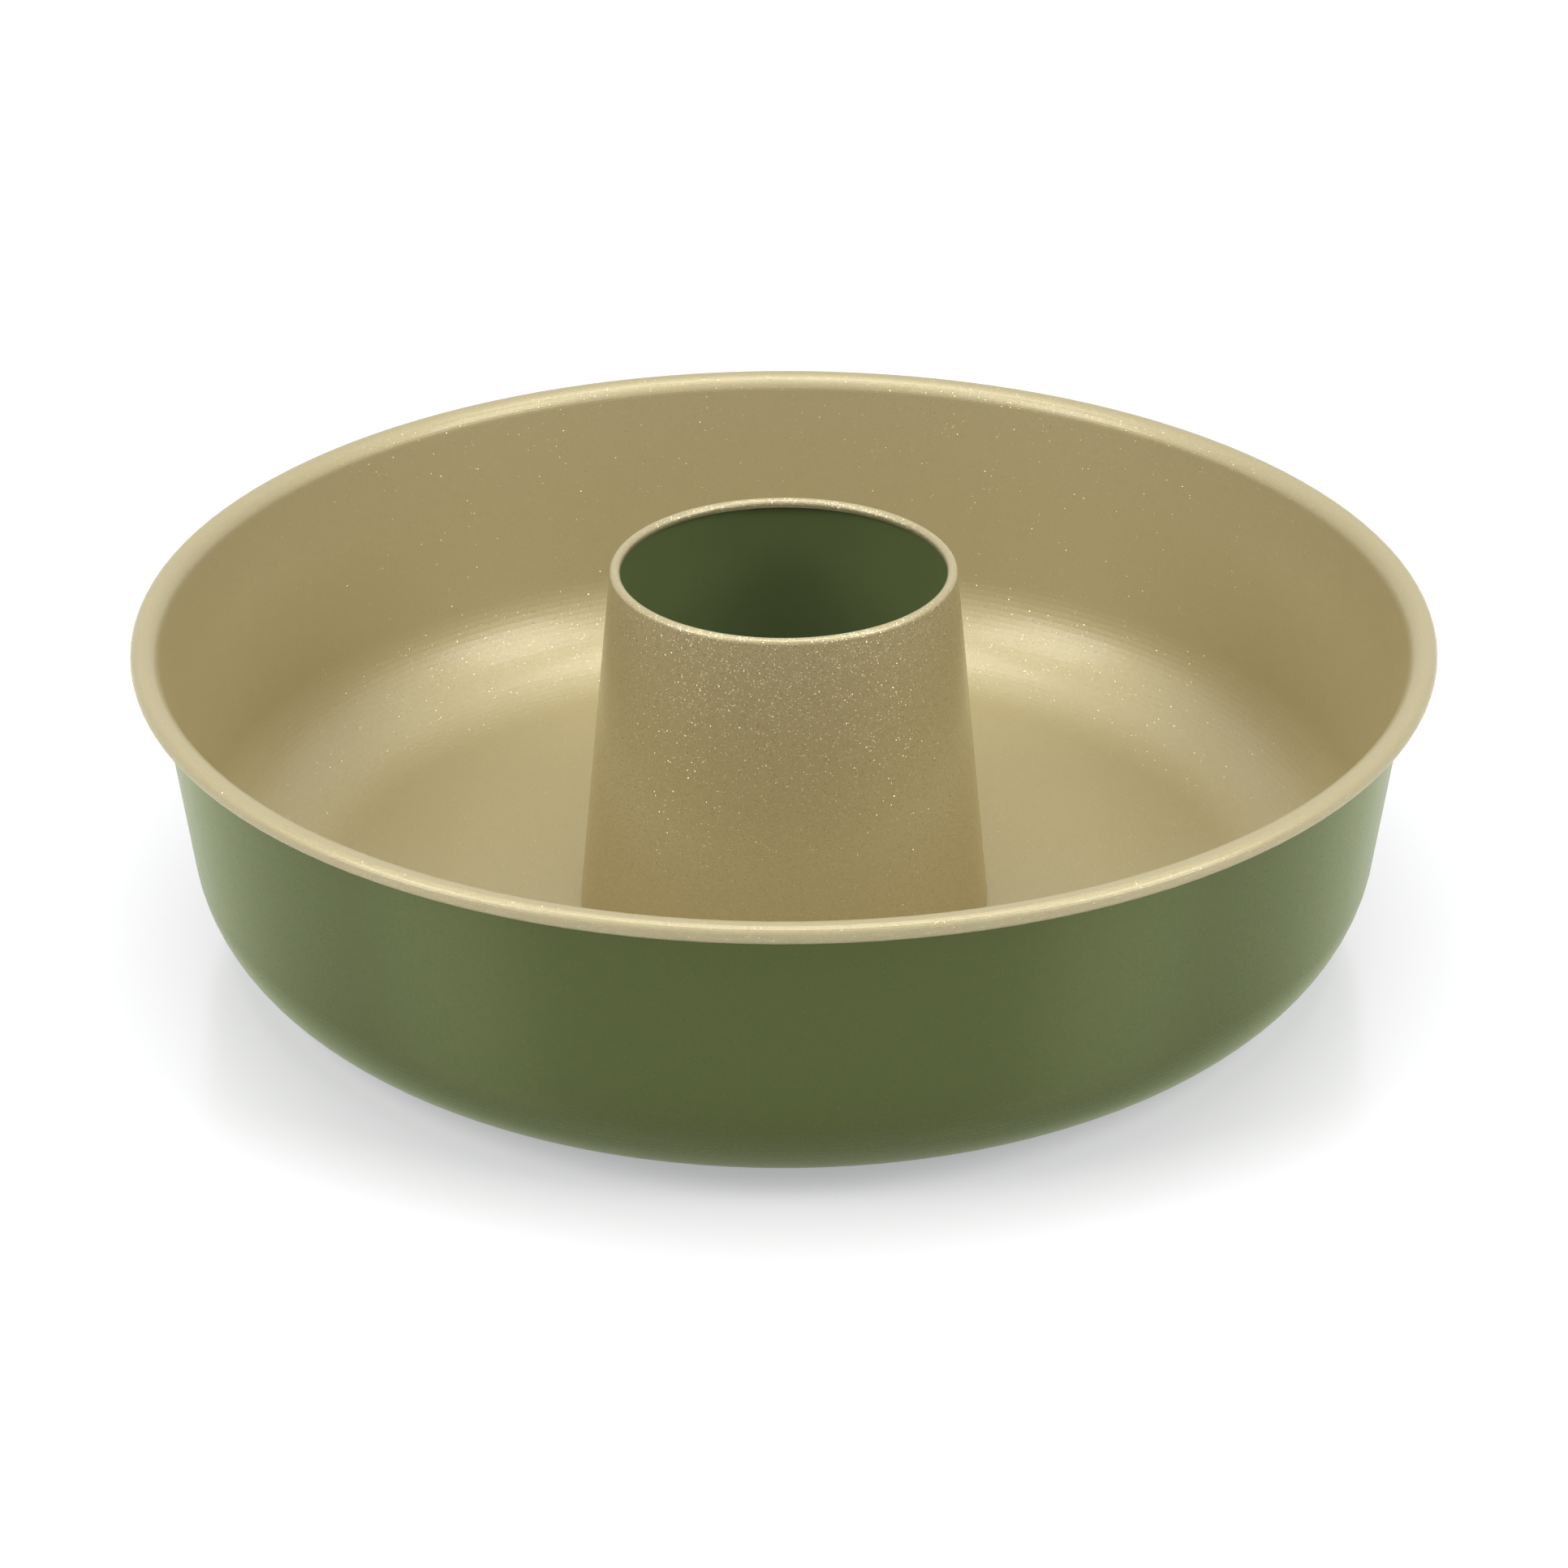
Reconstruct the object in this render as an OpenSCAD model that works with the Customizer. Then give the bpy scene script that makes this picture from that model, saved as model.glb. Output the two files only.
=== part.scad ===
// Savarin mould: a ring-shaped baking tin of thin coated steel, with a tapered open tube in its middle.
// The baking side is champagne and the outside is green. The pan and the tube are two separate sheets,
// and the base folds over the tube's foot flange in a flat seam hidden inside the tube.
// The origin is the centre of the base, on the surface that the mould stands on, with +Z up.

/* [Pan] */
// Diameter over the rolled rim
rim_diameter = 260; // [200:1:320]
// Height of the rim above the base
rim_height = 66; // [50:1:90]
// Lean of the outer wall from upright, in degrees
wall_lean = 6.5; // [2:0.5:12]
// Inside radius of the bend between the base and the wall
base_bend = 23.8; // [6:0.1:30]

/* [Rim] */
// Inside radius of the bend from the wall out into the rim
rim_bend = 2.8; // [2.2:0.1:5]
// Width of the level land between that bend and the rolled edge
rim_land = 0.3; // [0.1:0.1:6]
// Inside radius of the rolled edge
rim_roll = 1.1; // [0.6:0.1:1.6]
// How far round the edge is rolled, in degrees
rim_roll_turn = 240; // [180:5:260]

/* [Tube] */
// Height of the tube's top above the base
tube_height = 75.5; // [55:1:110]
// Diameter over the top of the tube
tube_top_diameter = 69.6; // [50:0.2:90]
// Lean of the tube's side from upright, in degrees
tube_lean = 5.8; // [1:0.1:10]
// Inside radius of the bead curled into the tube's mouth
bead_roll = 0.35; // [0.2:0.05:2]
// How far round the bead is curled, in degrees
bead_turn = 250; // [180:5:270]

/* [Seam] */
// Inside radius of the bend at the tube's foot
foot_bend = 0.3; // [0.2:0.1:2]
// Width of the tube's foot flange, which the base folds over
flange_width = 4; // [2:0.5:8]
// Clearance between the sheets in the seam, at their faces and at their ends
seam_gap = 0.1; // [0.05:0.01:0.3]

/* [Sheet] */
// Thickness of the steel under its coats
steel = 0.5; // [0.3:0.1:0.8]
// Thickness of each coat, drawn thicker than the real one so that it makes a sound solid
coat = 0.1; // [0.08:0.01:0.2]

/* [Hidden] */

CHAMPAGNE = [0.72, 0.66, 0.49];
GREEN = [0.41, 0.47, 0.29];
STEEL = [0.70, 0.71, 0.72];

// Most that a bend's straight steps may stray from its true curve
bend_tolerance = 0.01;
ring_sides = 180;

// Whole sheet with both coats, and the two distances from its centre line where a coat starts and ends
sheet = steel + 2 * coat;
half_sheet = sheet / 2;
half_steel = steel / 2;

// Levels of the three layers of the seam: the base, the tube's flange and the base's folded edge
base_level = half_sheet;
flange_level = base_level + sheet + seam_gap;
fold_level = flange_level + sheet + seam_gap;

// Pan, from its rim inwards. Every centre and radius belongs to the sheet's centre line
roll_centre = [rim_diameter / 2 - rim_roll - sheet, rim_height - rim_roll - sheet];
roll_radius = rim_roll + half_sheet;
rim_bend_centre = [roll_centre.x - rim_land, rim_height - rim_bend - sheet];
rim_bend_radius = rim_bend + half_sheet;
wall_top = rim_bend_centre + rim_bend_radius * [-cos(wall_lean), sin(wall_lean)];
base_bend_radius = base_bend + half_sheet;
base_bend_level = base_level + base_bend_radius;
wall_foot_level = base_bend_level - base_bend_radius * sin(wall_lean);
wall_foot_radius = wall_top.x - (wall_top.y - wall_foot_level) * tan(wall_lean);
base_bend_centre = [wall_foot_radius - base_bend_radius * cos(wall_lean), base_bend_level];

// Tube, from its top down
tube_outward = [cos(tube_lean), sin(tube_lean)];
bead_centre = [tube_top_diameter / 2 - bead_roll - sheet, tube_height - bead_roll - sheet];
bead_radius = bead_roll + half_sheet;
tube_top = bead_centre + bead_radius * tube_outward;
foot_radius = foot_bend + half_sheet;
foot_level = flange_level + foot_radius;
tube_foot_level = foot_level + foot_radius * tube_outward.y;
tube_foot_radius = tube_top.x + (tube_top.y - tube_foot_level) * tan(tube_lean);
foot_centre = [tube_foot_radius - foot_radius * tube_outward.x, foot_level];

// Seam, where the base's folded edge wraps the end of the tube's flange
flange_end = foot_centre.x - flange_width;
fold_centre = [flange_end - seam_gap, flange_level];
fold_radius = fold_level - flange_level;
fold_end = foot_centre.x - seam_gap;

// Which way a line at a heading has its right-hand side, with heading 0 outwards and 90 up
function right_of(heading) = [sin(heading), -cos(heading)];

// A line's end point, shifted to the left of its heading
function tip(point, heading, shift) = [point - shift * right_of(heading)];

// Points round a bend from one heading to another, shifted to the left of the centre line
function bend(centre, radius, from, to, shift) =
    let (
        turn = sign(to - from),
        steps = ceil(abs(to - from) / (2 * acos(1 - bend_tolerance / radius)))
    )
    [
        for (i = [0:steps])
            let (heading = from + (to - from) * i / steps)
            centre + (turn * radius - shift) * right_of(heading)
    ];

// The pan's sheet, from its folded edge along the base, up the wall and round the rim.
// The baking side is on the left all the way
function pan_line(shift) = concat(
    tip([fold_end, fold_level], 180, shift),
    bend(fold_centre, fold_radius, 180, 360, shift),
    bend(base_bend_centre, base_bend_radius, 0, 90 - wall_lean, shift),
    bend(rim_bend_centre, rim_bend_radius, 90 - wall_lean, 0, shift),
    bend(roll_centre, roll_radius, 0, -rim_roll_turn, shift)
);

// The tube's sheet, from inside its bead over the top, down the side and inwards along the flange.
// The baking side is on the left all the way
function tube_line(shift) =
    let (downwards = tube_lean - 90)
    concat(
        bend(bead_centre, bead_radius, downwards + bead_turn, downwards, shift),
        bend(foot_centre, foot_radius, downwards, -180, shift),
        tip([flange_end, flange_level], -180, shift)
    );

function reversed(list) = [for (i = [len(list) - 1:-1:0]) list[i]];

// A ring of sheet between two lines, turned about the mould's axis
module turned_layer(left_line, right_line) {
    rotate_extrude($fn = ring_sides)
        polygon(concat(left_line, reversed(right_line)));
}

module pan_sheet() {
    color(STEEL)
        turned_layer(pan_line(half_steel), pan_line(-half_steel));
}

module pan_baking_coat() {
    color(CHAMPAGNE)
        turned_layer(pan_line(half_sheet), pan_line(half_steel));
}

module pan_outer_coat() {
    color(GREEN)
        turned_layer(pan_line(-half_steel), pan_line(-half_sheet));
}

module tube_sheet() {
    color(STEEL)
        turned_layer(tube_line(half_steel), tube_line(-half_steel));
}

module tube_baking_coat() {
    color(CHAMPAGNE)
        turned_layer(tube_line(half_sheet), tube_line(half_steel));
}

module tube_inner_coat() {
    color(GREEN)
        turned_layer(tube_line(-half_steel), tube_line(-half_sheet));
}

pan_sheet();
pan_baking_coat();
pan_outer_coat();
tube_sheet();
tube_baking_coat();
tube_inner_coat();
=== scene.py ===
from math import atan, cos, radians, sin

import bpy
from mathutils import Matrix, Vector


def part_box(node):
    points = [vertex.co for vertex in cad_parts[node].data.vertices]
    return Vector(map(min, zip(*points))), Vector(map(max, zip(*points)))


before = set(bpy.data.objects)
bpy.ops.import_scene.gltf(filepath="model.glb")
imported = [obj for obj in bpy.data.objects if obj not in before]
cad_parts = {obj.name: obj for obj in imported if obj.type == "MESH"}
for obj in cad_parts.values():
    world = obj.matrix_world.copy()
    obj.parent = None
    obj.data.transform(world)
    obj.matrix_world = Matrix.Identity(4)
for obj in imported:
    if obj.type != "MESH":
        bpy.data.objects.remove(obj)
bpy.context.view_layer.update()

# Camera: where it stands around the rim's centre, in metres and degrees, and where that centre falls in the
# square photograph, in pixels
PHOTO_SIDE = 1932
RIM_CENTRE_PIXEL = (966.0, 750.1)
FOCAL_PIXELS = 4906
SENSOR_MM = 36
CAMERA_DISTANCE = 0.800
CAMERA_ELEVATION = 25.1
CAMERA_ROLL = -0.08

# Finishes. The matt binder and the metal flakes in it have their colours as plain light values. One share
# of the surface goes to fine flakes and another to coarse ones. Shine is how strongly the binder reflects,
# tint colours its reflections, gloss is the clear layer on top and sheen is a glow at glancing angles
FINISHES = {
    "champagne_coat": {
        "binder": (0.455, 0.390, 0.217),
        "flake": (0.605, 0.530, 0.333),
        "flake_share": 0.40,
        "coarse_share": 0.01,
        "roughness": 0.52,
        "shine": 0.25,
        "gloss": 0.50,
        "tint": (1.00, 0.94, 0.60),
        "sheen": 0.0,
    },
    "green_coat": {
        "binder": (0.022, 0.0285, 0.007),
        "flake": (0.090, 0.112, 0.042),
        "flake_share": 0.30,
        "coarse_share": 0.01,
        "roughness": 0.24,
        "shine": 1.0,
        "gloss": 0.0,
        "tint": (0.82, 0.98, 0.36),
        "sheen": 0.12,
    },
    # The bore's coat is the outer green paint made matt, with its colour lightened as painted light that
    # lifts the deep shade inside the tube
    "green_coat_inside_painted_lighter": {
        "binder": (0.200, 0.250, 0.095),
        "flake": (0.200, 0.250, 0.095),
        "flake_share": 0.20,
        "coarse_share": 0.0,
        "roughness": 0.50,
        "shine": 0.25,
        "gloss": 0.0,
        "tint": (1.00, 1.00, 1.00),
        "sheen": 0.0,
    },
    "steel": {
        "binder": (0.50, 0.50, 0.50),
        "flake": (0.62, 0.62, 0.63),
        "flake_share": 0.85,
        "coarse_share": 0.0,
        "roughness": 0.40,
        "shine": 0.25,
        "gloss": 0.0,
        "tint": (1.00, 1.00, 1.00),
        "sheen": 0.0,
    },
}
# The same champagne on the tube, where the photograph shows a sandier grain
FINISHES["sandy_champagne_coat"] = {**FINISHES["champagne_coat"], "coarse_share": 0.16}
FINISH_OF_NODE = {
    "pan_sheet": "steel",
    "pan_baking_coat": "champagne_coat",
    "pan_outer_coat": "green_coat",
    "tube_sheet": "steel",
    "tube_baking_coat": "sandy_champagne_coat",
    "tube_inner_coat": "green_coat_inside_painted_lighter",
}

# The surface is split into cells of one size, in metres. Each has some fine flake, which lies almost flat,
# and how much it has spreads round the finish's own share. A few cells are one coarse flake instead, which
# lies askew and glints
FLAKE_SIZE = 0.00018
FINE_SPREAD = 0.3
FINE_TILT = 0.03
COARSE_TILT = 0.63
COARSE_ROUGHNESS = 0.32
GLOSS_ROUGHNESS = 0.2
SHEEN_TINT = (0.78, 1.00, 0.28)
SHEEN_ROUGHNESS = 0.5

# Lamps by name, with their direction from the mould in degrees, distance, width and height in metres, and
# power. With the world they light it at a level where a colour looks about as it is written
SOFTBOXES = {
    "right_softbox": {"azimuth": 115, "elevation": 37, "distance": 1.2, "size": (0.5, 0.7), "watts": 5.3},
    "left_softbox": {"azimuth": -115, "elevation": 37, "distance": 1.2, "size": (0.5, 0.7), "watts": 5.3},
    "overhead_softbox": {"azimuth": 0, "elevation": 90, "distance": 1.2, "size": (1.1, 0.6), "watts": 7.5},
}
WORLD_STRENGTH = 0.12
WORLD_SEEN = 1.0

# The floor is nearly white where it is seen, and throws back less light than that on the mould
FLOOR_HALF_SIDE = 3.0
FLOOR_SEEN = 0.90
FLOOR_BOUNCE = 0.45
FLOOR_ROUGHNESS = 0.20
FLOOR_SHINE = 0.8
# Cool white added to the floor as it is seen, which leaves its shadow but casts no light on the mould
FLOOR_LIFT = (0.37, 0.37, 0.39)


def shader_tree(material):
    """Empties a material's node tree and returns a function that adds nodes to it, set and wired."""
    material.use_nodes = True
    tree = material.node_tree
    tree.nodes.clear()

    def add(kind, inputs=None, **settings):
        node = tree.nodes.new(kind)
        for name, value in settings.items():
            setattr(node, name, value)
        for socket, value in (inputs or {}).items():
            if isinstance(value, bpy.types.NodeSocket):
                tree.links.new(value, node.inputs[socket])
            else:
                node.inputs[socket].default_value = value
        return node

    return add


def number(add, operation, first, second):
    """Works out one number from two."""
    return add("ShaderNodeMath", {0: first, 1: second}, operation=operation).outputs["Value"]


def vector(add, operation, first, second):
    """Works out one vector from two."""
    return add("ShaderNodeVectorMath", {0: first, 1: second}, operation=operation).outputs["Vector"]


def between(add, share, start, end):
    """Goes from one value to another as a share goes from nought to one."""
    return add("ShaderNodeMapRange", {"Value": share, "To Min": start, "To Max": end}).outputs["Result"]


def seen_directly(add):
    """Gives one where a camera, glossy or transmission ray looks, and nought elsewhere."""
    rays = add("ShaderNodeLightPath").outputs
    seen = number(add, "MAXIMUM", rays["Is Camera Ray"], rays["Is Glossy Ray"])
    return number(add, "MAXIMUM", seen, rays["Is Transmission Ray"])


def finish_material(name, binder, flake, flake_share, coarse_share, roughness, shine, gloss, tint, sheen):
    """A matt binder full of fine metal flakes, with a few coarse ones, under a thin clear gloss."""
    material = bpy.data.materials.new(name)
    add = shader_tree(material)
    place = add("ShaderNodeTexCoord").outputs["Object"]
    cells = add("ShaderNodeTexVoronoi", {"Vector": place, "Scale": 1 / FLAKE_SIZE}).outputs
    chance = add("ShaderNodeTexWhiteNoise", {"Vector": cells["Position"]}).outputs["Value"]
    fine = between(add, chance, flake_share - FINE_SPREAD / 2, flake_share + FINE_SPREAD / 2)
    coarse = number(add, "LESS_THAN", chance, coarse_share)
    metal = number(add, "MAXIMUM", fine, coarse)
    # This node has sockets for each kind of value. Its colours go in at 6 and 7 and come out at 2
    mix = add("ShaderNodeMix", {0: metal, 6: (*binder, 1), 7: (*flake, 1)}, data_type="RGBA")
    # A cell's random colour lies between nought and one, so its lean is measured from the middle of them
    lean = vector(add, "SUBTRACT", cells["Color"], (0.5, 0.5, 0.5))
    tilt = between(add, coarse, FINE_TILT, COARSE_TILT)
    turn = add("ShaderNodeVectorMath", {0: lean, "Scale": tilt}, operation="SCALE").outputs["Vector"]
    turned = vector(add, "ADD", add("ShaderNodeNewGeometry").outputs["Normal"], turn)
    normal = add("ShaderNodeVectorMath", {0: turned}, operation="NORMALIZE").outputs["Vector"]
    shader = add(
        "ShaderNodeBsdfPrincipled",
        {
            "Base Color": mix.outputs[2],
            "Metallic": metal,
            "Roughness": between(add, coarse, roughness, COARSE_ROUGHNESS),
            "Normal": normal,
            "Specular IOR Level": shine,
            "Specular Tint": (*tint, 1),
            "Coat Weight": gloss,
            "Coat Roughness": GLOSS_ROUGHNESS,
            "Sheen Weight": sheen,
            "Sheen Roughness": SHEEN_ROUGHNESS,
            "Sheen Tint": (*SHEEN_TINT, 1),
        },
    )
    add("ShaderNodeOutputMaterial", {"Surface": shader.outputs["BSDF"]})
    return material


def make_camera():
    """Stands the camera where the photograph was taken from, with the rim's centre on its own pixel."""
    photo_middle = PHOTO_SIDE / 2
    pixels_right = RIM_CENTRE_PIXEL[0] - photo_middle
    pixels_up = photo_middle - RIM_CENTRE_PIXEL[1]
    lens = bpy.data.cameras.new("camera")
    lens.sensor_fit = "HORIZONTAL"
    lens.sensor_width = SENSOR_MM
    lens.lens = SENSOR_MM * FOCAL_PIXELS / PHOTO_SIDE
    camera = bpy.data.objects.new("camera", lens)
    bpy.context.scene.collection.objects.link(camera)
    facing = Matrix.Rotation(radians(90 - CAMERA_ELEVATION), 3, "X")
    rim_centre = Vector((0, 0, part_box("pan_baking_coat")[1][2]))
    stand = rim_centre + facing @ Vector((0, 0, CAMERA_DISTANCE))
    pan = Matrix.Rotation(atan(pixels_right / FOCAL_PIXELS), 3, "Y")
    pitch = Matrix.Rotation(-atan(pixels_up / FOCAL_PIXELS), 3, "X")
    roll = Matrix.Rotation(radians(CAMERA_ROLL), 3, "Z")
    camera.matrix_world = Matrix.Translation(stand) @ (facing @ pan @ pitch @ roll).to_4x4()
    bpy.context.scene.camera = camera


def make_softbox(name, azimuth, elevation, distance, size, watts):
    """Hangs a rectangular lamp around the mould, facing its middle. Azimuth 0 is behind it, 90 right."""
    turn, rise = radians(azimuth), radians(elevation)
    towards = Vector((cos(rise) * sin(turn), cos(rise) * cos(turn), sin(rise)))
    lamp = bpy.data.lights.new(name, "AREA")
    lamp.shape = "RECTANGLE"
    lamp.size, lamp.size_y = size
    lamp.energy = watts
    softbox = bpy.data.objects.new(name, lamp)
    softbox.location = towards * distance
    softbox.rotation_euler = towards.to_track_quat("Z", "Y").to_euler()
    bpy.context.scene.collection.objects.link(softbox)


def make_floor():
    """Lays a pale satin floor under the mould, seen brighter than it lights."""
    half = FLOOR_HALF_SIDE
    mesh = bpy.data.meshes.new("floor")
    corners = [(-half, -half, 0), (half, -half, 0), (half, half, 0), (-half, half, 0)]
    mesh.from_pydata(corners, [], [(0, 1, 2, 3)])
    floor = bpy.data.objects.new("floor", mesh)
    bpy.context.scene.collection.objects.link(floor)
    paint = bpy.data.materials.new("floor")
    add = shader_tree(paint)
    seen = seen_directly(add)
    satin = add(
        "ShaderNodeBsdfPrincipled",
        {
            "Base Color": between(add, seen, FLOOR_BOUNCE, FLOOR_SEEN),
            "Roughness": FLOOR_ROUGHNESS,
            "Specular IOR Level": FLOOR_SHINE,
        },
    )
    glow = add("ShaderNodeEmission", {"Color": (*FLOOR_LIFT, 1), "Strength": seen})
    both = add("ShaderNodeAddShader", {0: satin.outputs["BSDF"], 1: glow.outputs["Emission"]})
    add("ShaderNodeOutputMaterial", {"Surface": both.outputs["Shader"]})
    mesh.materials.append(paint)


def light_world():
    """Fills in a little from all round with a world that is plain white where it is seen."""
    world = bpy.data.worlds.new("studio")
    add = shader_tree(world)
    strength = between(add, seen_directly(add), WORLD_STRENGTH, WORLD_SEEN)
    white = add("ShaderNodeBackground", {"Color": (1, 1, 1, 1), "Strength": strength})
    add("ShaderNodeOutputWorld", {"Surface": white.outputs["Background"]})
    bpy.context.scene.world = world


finishes = {name: finish_material(name, **finish) for name, finish in FINISHES.items()}
for node, finish in FINISH_OF_NODE.items():
    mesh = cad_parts[node].data
    mesh.materials.clear()
    mesh.materials.append(finishes[finish])

make_camera()
make_floor()
light_world()
for name, softbox in SOFTBOXES.items():
    make_softbox(name, **softbox)

bpy.context.scene.view_settings.view_transform = "Standard"
